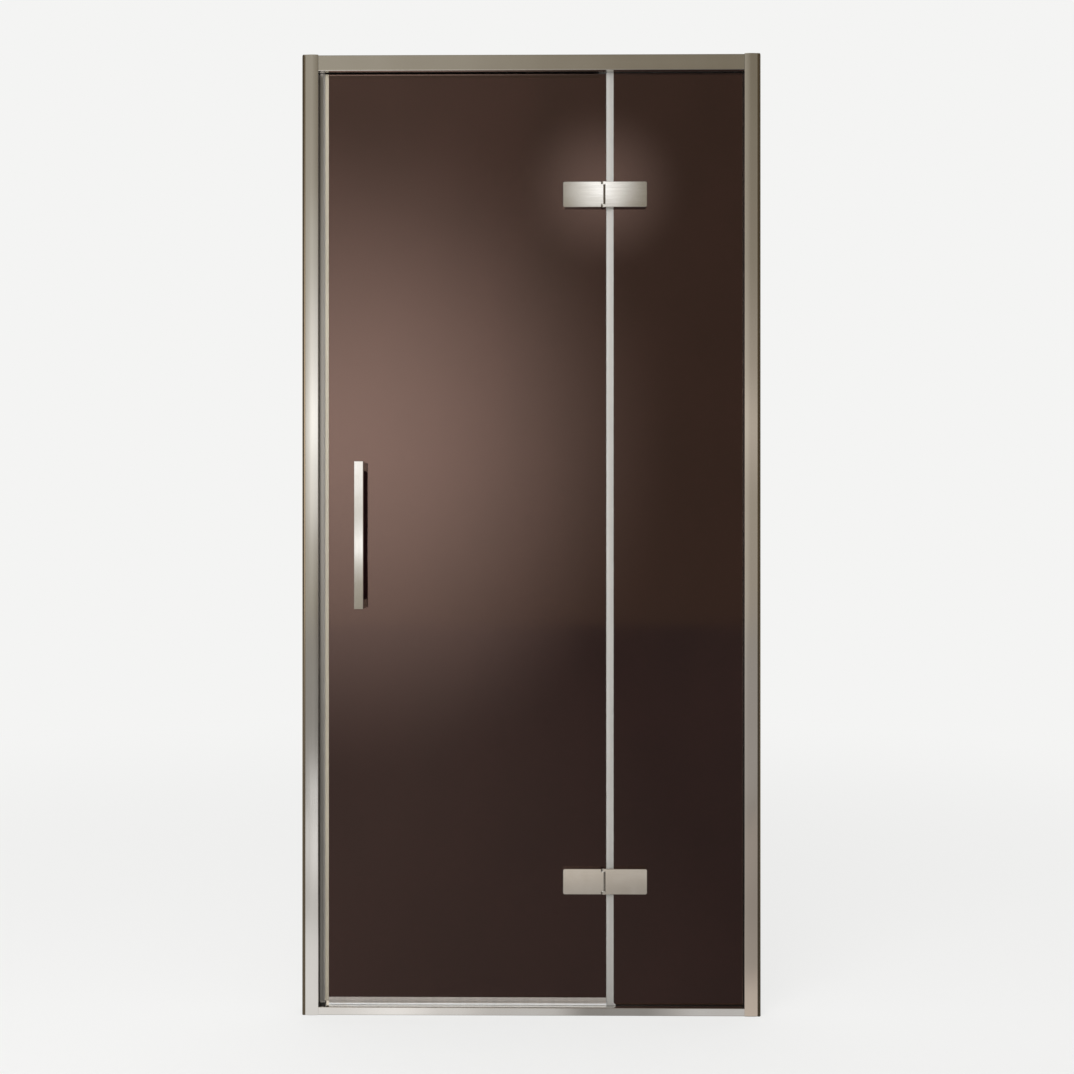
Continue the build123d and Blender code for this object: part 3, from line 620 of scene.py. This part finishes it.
def makeHingePads(node, screws, body):
    low, high = nodeBox(node)
    blocks = [((low[0], low[1], low[2]), (high[0], -halfGlass, high[2])),
              ((low[0], halfGlass, low[2]), (high[0], high[1], high[2]))]
    screwLow, screwHigh = nodeBox(screws)
    middle = (screwLow[0] + screwHigh[0]) / 2
    heads = endsOf(screws, screwHigh[0] - screwLow[0])
    makePads(node.replace("_", "-"), {**hingePads, "node": node, "body": body},
             blocks, [(middle, z) for z, _, _ in heads])


def makeHandlePads():
    low, high = nodeBox("handle_pads")
    middle = (low[0] + high[0]) / 2
    ends = endsOf("handle_pads", handlePads["height"])
    makePads("handlePads", handlePads,
             [((low[0], low[1], foot), (high[0], high[1], top)) for _, foot, top in ends],
             [(middle, z) for z, _, _ in ends])
    low, high = nodeBox("handle_rear_washers")
    width = high[0] - low[0]
    ends = endsOf("handle_rear_washers", width)
    makePads("handleRearWashers", {**rearWashers, "corner": width / 2 * rearWashers["roundness"]},
             [((low[0], low[1], foot), (high[0], high[1], top)) for _, foot, top in ends],
             [(middle, z) for z, _, _ in ends])


makeGapSeal()
makeFootSeal()
makeDoorMagnetSeal()
makeStrikeMagnetSeal()
makeHeaderSeal()
for gasketName, look in glazing.items():
    makeGlazingGasket(gasketName, look)
for level in ("upper", "lower"):
    makeHingePads(level + "_hinge_door_pads", level + "_hinge_door_screws", "door")
    makeHingePads(level + "_hinge_fixed_pads", level + "_hinge_fixed_screws", "frame")
makeHandlePads()
print("seals, gaskets and pads made")


# Plain studio: a pale floor and backdrop, with soft boxes and reflector boards on the room's side
studio = {
    "pale": "#F4F4F3",
    "floorSize": 24.0,
    "floorShadow": 0.25,                # share of the floor's look that real light and shadow make
    "shadowEnds": (1.2, 4.5),           # between these distances the floor turns into the backdrop
    "floorPlain": "#D0CFCD",            # the floor as it lights the object
    "floorMirror": "#FFFAF2",           # the floor as metal and glass mirror it
    "floorLeft": 0.29, "floorRight": 0.15, "floorBehind": 0.9,
    "roomWidth": (-0.5, 0.5), "behindStarts": (0.02, 0.5),
    "ambient": 0.74,
    "frontLeft": "#A7A194", "frontRight": "#7F7768", "frontTurn": (-0.16, 0.15),
    "side": "#57524C", "corner": "#959390",
    # from the room's front, 0, to the back behind the door, 1: where one tone turns into the next
    "frontEnds": (0.065, 0.115), "sideAt": 0.375, "cornerAt": 0.55, "backAt": 0.72,
}


def emit(tree, color, strength):
    return addNode(tree, "ShaderNodeEmission", {
        "Color": hexColor(color), "Strength": strength}).outputs[0]


def mixed(tree, share, first, second):
    return addNode(tree, "ShaderNodeMixShader", {0: share, 1: first, 2: second}).outputs[0]


# Smooth steps have a soft start and end
def mapped(tree, value, ends, low=0.0, high=1.0, smooth=False):
    return addNode(tree, "ShaderNodeMapRange", {
        "Value": value, "From Min": ends[0], "From Max": ends[1], "To Min": low, "To Max": high},
        interpolation_type="SMOOTHSTEP" if smooth else "LINEAR").outputs[0]


def sidesOf(tree, place):
    return addNode(tree, "ShaderNodeSeparateXYZ", {0: place}).outputs


def awayFromMiddle(tree, place):
    return addNode(tree, "ShaderNodeVectorMath", {0: place}, operation="LENGTH").outputs["Value"]


# 1 for rays from the camera or through glass
def seenDirectly(tree):
    path = addNode(tree, "ShaderNodeLightPath")
    return addNode(tree, "ShaderNodeMath", {
        0: path.outputs["Is Camera Ray"], 1: path.outputs["Is Transmission Ray"]},
        operation="MAXIMUM").outputs[0]


def isMirrored(tree):
    return addNode(tree, "ShaderNodeLightPath").outputs["Is Glossy Ray"]


def makeFloor():
    bpy.ops.object.select_all(action="DESELECT")
    bpy.ops.mesh.primitive_plane_add(size=studio["floorSize"], location=(0, 0, 0))
    floor = bpy.context.object
    floor.name = "studioFloor"
    material, tree = newTree("paleStudioPaper")
    place = addNode(tree, "ShaderNodeTexCoord").outputs["Object"]
    lit = addNode(tree, "ShaderNodeBsdfDiffuse", {"Color": hexColor(studio["pale"])}).outputs[0]
    pale = emit(tree, studio["pale"], 1.0)
    near = mixed(tree, studio["floorShadow"], pale, lit)
    fade = mapped(tree, awayFromMiddle(tree, place), studio["shadowEnds"], smooth=True)
    seen = mixed(tree, fade, near, pale)
    # what metal and glass mirror: grey in the room, pale behind the door
    parts = sidesOf(tree, place)
    room = mapped(tree, parts["X"], studio["roomWidth"], studio["floorLeft"], studio["floorRight"])
    behind = mapped(tree, parts["Y"], studio["behindStarts"], smooth=True)
    level = addNode(tree, "ShaderNodeMix", {0: behind, 2: room, 3: studio["floorBehind"]}).outputs[0]
    plain = addNode(tree, "ShaderNodeBsdfDiffuse", {"Color": hexColor(studio["floorPlain"])}).outputs[0]
    other = mixed(tree, isMirrored(tree), plain, emit(tree, studio["floorMirror"], level))
    closeTree(tree, mixed(tree, seenDirectly(tree), other, seen))
    floor.data.materials.append(material)


def makeWorld():
    world = bpy.data.worlds.new("paleStudio")
    bpy.context.scene.world = world
    world.use_nodes = True
    tree = world.node_tree
    tree.nodes.clear()
    parts = sidesOf(tree, addNode(tree, "ShaderNodeTexCoord").outputs["Generated"])
    across = mapped(tree, parts["X"], studio["frontTurn"], smooth=True)
    room = addNode(tree, "ShaderNodeMix", {
        "Factor": across, "A": hexColor(studio["frontLeft"]), "B": hexColor(studio["frontRight"])},
        data_type="RGBA").outputs["Result"]
    turn = mapped(tree, parts["Y"], (-1.0, 1.0))
    around = addNode(tree, "ShaderNodeValToRGB", {"Fac": turn})
    stops = around.color_ramp.elements
    stops[0].position, stops[0].color = studio["frontEnds"][1], hexColor(studio["side"])
    stops[1].position, stops[1].color = studio["backAt"], hexColor(studio["pale"])
    for name in ("side", "corner"):
        stops.new(studio[name + "At"]).color = hexColor(studio[name])
    facing = mapped(tree, turn, studio["frontEnds"], smooth=True)
    mirrored = addNode(tree, "ShaderNodeMix", {
        "Factor": facing, "A": room, "B": around.outputs[0]}, data_type="RGBA").outputs["Result"]

    def background(color, strength):
        return addNode(tree, "ShaderNodeBackground", {"Color": color, "Strength": strength}).outputs[0]

    white = hexColor("#FFFFFF")
    other = mixed(tree, isMirrored(tree), background(white, studio["ambient"]), background(mirrored, 1.0))
    whole = mixed(tree, seenDirectly(tree), other, background(hexColor(studio["pale"]), 1.0))
    addNode(tree, "ShaderNodeOutputWorld", {"Surface": whole})


# Round soft boxes fade to nothing at the rim, as through a double diffuser. They light every piece but
# those that they spare, or only those that they name, through light linking.
upperHinge = ("upper_hinge_door_plate", "upper_hinge_fixed_plate")
lowerHinge = ("lower_hinge_door_plate", "lower_hinge_fixed_plate")
ownBoards = ("left_frame_post", "right_frame_post", "handle_bar")
roundBoxes = {
    "leftSoftBox": {
        "at": (-0.671, -2.0, 1.275), "radius": 1.2, "strength": 1.38, "color": "#FFFAF6",
        "spares": ownBoards},
    "hingeSoftBox": {
        "at": (0.236, -2.01, 2.15), "radius": 0.31, "strength": 0.64, "color": "#FFFAF6",
        "spares": ownBoards + upperHinge},
    "upperHingeSpot": {
        "at": (0.240, -2.02, 2.16), "radius": 0.155, "strength": 1.35, "color": "#F8FBFF",
        "lights": upperHinge},
}

# Boards are oblong, and each lights the pieces that it names. Their strength goes in steps along their
# height, or their depth where they lie on the floor, and in steps across: (place in metres, strength).
# No two lie in one plane.
boardRow = {"at": -2.03, "step": -0.01}         # along Y, for the boards that stand before the door
floorRow = {"at": 0.0002, "step": 0.0002}       # along Z, for those that lie on the floor
boards = {
    "leftPostBoard": {
        "lights": ("left_frame_post",), "color": "#FAFCFF", "stands": True,
        "along": [(0.01, 0.60), (0.045, 0.53), (0.216, 0.05), (0.3, 0.0), (0.697, 0.0), (0.866, 0.12),
                  (1.125, 0.62), (1.347, 0.96), (1.586, 0.56), (1.929, 0.20), (2.2, 0.03), (2.5, 0.0)],
        "across": [(-1.8, 0.1), (-1.5, 0.25), (-0.76, 1.0), (0.1, 1.15)]},
    "leftFloorBoard": {
        "lights": ("left_frame_post",), "color": "#FBFCFF", "stands": False,
        "along": [(-1.98, 0.58), (-1.45, 0.60), (-0.83, 0.36), (-0.375, 0.52), (-0.11, 0.54),
                  (-0.01, 0.53)],
        "across": [(-1.8, 0.4), (-0.9, 0.8), (-0.5, 1.0), (0.1, 1.3)]},
    "rightPostBoard": {
        "lights": ("right_frame_post",), "color": "#FFF4EC", "stands": True,
        "along": [(0.01, 0.21), (0.2, 0.20), (0.559, 0.17), (0.866, 0.15), (1.056, 0.16), (1.347, 0.34),
                  (1.586, 0.16), (1.929, 0.07), (2.3, 0.04), (2.6, 0.0)],
        "across": [(-0.2, 1.0), (1.8, 1.0)]},
    "rightFloorBoard": {
        "lights": ("right_frame_post",), "color": "#FFEBDB", "stands": False,
        "along": [(-1.98, 0.21), (-1.45, 0.21), (-0.83, 0.175), (-0.375, 0.21), (-0.11, 0.40),
                  (-0.01, 0.42)],
        "across": [(-0.2, 1.0), (1.8, 1.0)]},
    "sillBoard": {
        "lights": ("sill_rail",), "color": "#FDFDFF", "stands": False,
        "along": [(-0.2, 1.0), (-0.01, 1.0)],
        "across": [(-0.44, 0.56), (-0.398, 0.56), (-0.26, 0.72), (-0.161, 0.53), (-0.062, 0.39),
                   (0.037, 0.37), (0.116, 0.10), (0.215, 0.115), (0.333, 0.405), (0.44, 0.41)]},
    "lowerHingeBoard": {
        "lights": lowerHinge, "color": "#FFF3E4", "stands": False,
        "along": [(-1.4, 0.52), (-1.18, 0.42), (-0.93, 0.21), (-0.7, 0.18)],
        "across": [(-0.1, 1.06), (0.1, 1.02), (0.32, 0.86), (0.6, 0.8)]},
    "handleBoard": {
        "lights": ("handle_bar",), "color": "#F7FAFF", "stands": True,
        "along": [(0.6, 0.0), (0.717, 0.0), (0.765, 0.0), (0.834, 0.24), (0.919, 1.1), (1.004, 0.36),
                  (1.073, 0.56), (1.141, 0.78), (1.192, 0.86), (1.4, 0.9)],
        "across": [(-1.6, 1.0), (0.2, 1.0)]},
}


def linkLight(panel, names):
    group = bpy.data.collections.new(panel.name + "Receivers")
    for piece in names:
        group.objects.link(bpy.data.objects[piece])
    panel.light_linking.receiver_collection = group


# A panel only adds its light: whatever stands behind it is still mirrored
def closePanel(panel, material, tree, color, glow):
    clear = addNode(tree, "ShaderNodeBsdfTransparent").outputs[0]
    both = addNode(tree, "ShaderNodeAddShader", {0: emit(tree, color, glow), 1: clear}).outputs[0]
    closeTree(tree, both)
    panel.data.materials.append(material)
    panel.visible_camera = False
    panel.visible_transmission = False
    panel.visible_shadow = False


roundSides = 48


def makeRoundBox(name, box):
    bpy.ops.object.select_all(action="DESELECT")
    bpy.ops.mesh.primitive_circle_add(
        vertices=roundSides, radius=box["radius"], fill_type="NGON", location=box["at"],
        rotation=(radians(-90), 0, 0))
    panel = bpy.context.object
    panel.name = name
    material, tree = newTree(name + "Cloth")
    apart = awayFromMiddle(tree, addNode(tree, "ShaderNodeTexCoord").outputs["Object"])
    glow = mapped(tree, apart, (0.0, box["radius"]), box["strength"], 0.0, smooth=True)
    closePanel(panel, material, tree, box["color"], glow)
    lit = box.get("lights") or [
        piece.name for piece in bpy.context.scene.objects
        if piece.type == "MESH" and piece.name not in box["spares"] and piece.name != name]
    linkLight(panel, lit)


rampFull = 1.5      # the strength that a ramp's white stands for


# Strength along one of a board's axes, as a ramp between its steps
def stepsAlong(tree, value, steps):
    low, high = steps[0][0], steps[-1][0]
    ramp = addNode(tree, "ShaderNodeValToRGB", {"Fac": mapped(tree, value, (low, high))})
    ramp.color_ramp.interpolation = "EASE"
    stops = ramp.color_ramp.elements

    def grey(strength):
        return (*[strength / rampFull] * 3, 1)

    # a new stop moves the last one on, so the two ends come first
    stops[0].color, stops[1].color = grey(steps[0][1]), grey(steps[-1][1])
    for place, strength in steps[1:-1]:
        stops.new((place - low) / (high - low)).color = grey(strength)
    return addNode(tree, "ShaderNodeMath", {
        0: ramp.outputs[0], 1: rampFull}, operation="MULTIPLY").outputs[0]


def makeBoard(name, board, order):
    left, right = board["across"][0][0], board["across"][-1][0]
    near, far = board["along"][0][0], board["along"][-1][0]
    across, along = (left + right) / 2, (near + far) / 2
    row = boardRow if board["stands"] else floorRow
    depth = row["at"] + row["step"] * order
    bpy.ops.object.select_all(action="DESELECT")
    turn = (radians(90), 0, 0) if board["stands"] else (0, 0, 0)
    bpy.ops.mesh.primitive_plane_add(size=1, rotation=turn)
    panel = bpy.context.object
    panel.name = name
    panel.scale = (right - left, far - near, 1)
    panel.location = (across, depth, along) if board["stands"] else (across, along, depth)
    bpy.ops.object.transform_apply(location=True, rotation=True, scale=True)
    material, tree = newTree(name + "Cloth")
    parts = sidesOf(tree, addNode(tree, "ShaderNodeTexCoord").outputs["Object"])
    glow = addNode(tree, "ShaderNodeMath", {
        0: stepsAlong(tree, parts["Z" if board["stands"] else "Y"], board["along"]),
        1: stepsAlong(tree, parts["X"], board["across"])}, operation="MULTIPLY").outputs[0]
    closePanel(panel, material, tree, board["color"], glow)
    linkLight(panel, board["lights"])


frontLamp = {"at": (-1.0, -2.6, 2.1), "towards": (0, 0, 1.0), "size": 2.0, "watts": 44}


def makeLamp():
    lamp = bpy.data.lights.new("frontLamp", "AREA")
    lamp.shape = "SQUARE"
    lamp.size = frontLamp["size"]
    lamp.energy = frontLamp["watts"]
    holder = bpy.data.objects.new("frontLamp", lamp)
    bpy.context.scene.collection.objects.link(holder)
    holder.location = frontLamp["at"]
    aim = Vector(frontLamp["towards"]) - Vector(frontLamp["at"])
    holder.rotation_euler = aim.to_track_quat("-Z", "Y").to_euler()
    holder.visible_glossy = False
    holder.visible_camera = False


# The photo's view: level, almost square to the door and at the middle of its height
view = {"at": (0.007, -2.718, 0.9457), "turn": 0.558, "lens": 45.8, "sensor": 36.0, "shift": 0.0146}


def makeCamera():
    lens = bpy.data.cameras.new("camera")
    lens.lens = view["lens"]
    lens.sensor_width = view["sensor"]
    lens.shift_x = view["shift"]
    holder = bpy.data.objects.new("camera", lens)
    bpy.context.scene.collection.objects.link(holder)
    holder.location = view["at"]
    holder.rotation_euler = (radians(90), 0, radians(view["turn"]))
    bpy.context.scene.camera = holder


makeFloor()
makeWorld()
for boxName, box in roundBoxes.items():
    makeRoundBox(boxName, box)
for order, (boardName, board) in enumerate(boards.items()):
    makeBoard(boardName, board, order)
makeLamp()
makeCamera()
bpy.context.scene.view_settings.view_transform = "Standard"
print("studio and camera ready")
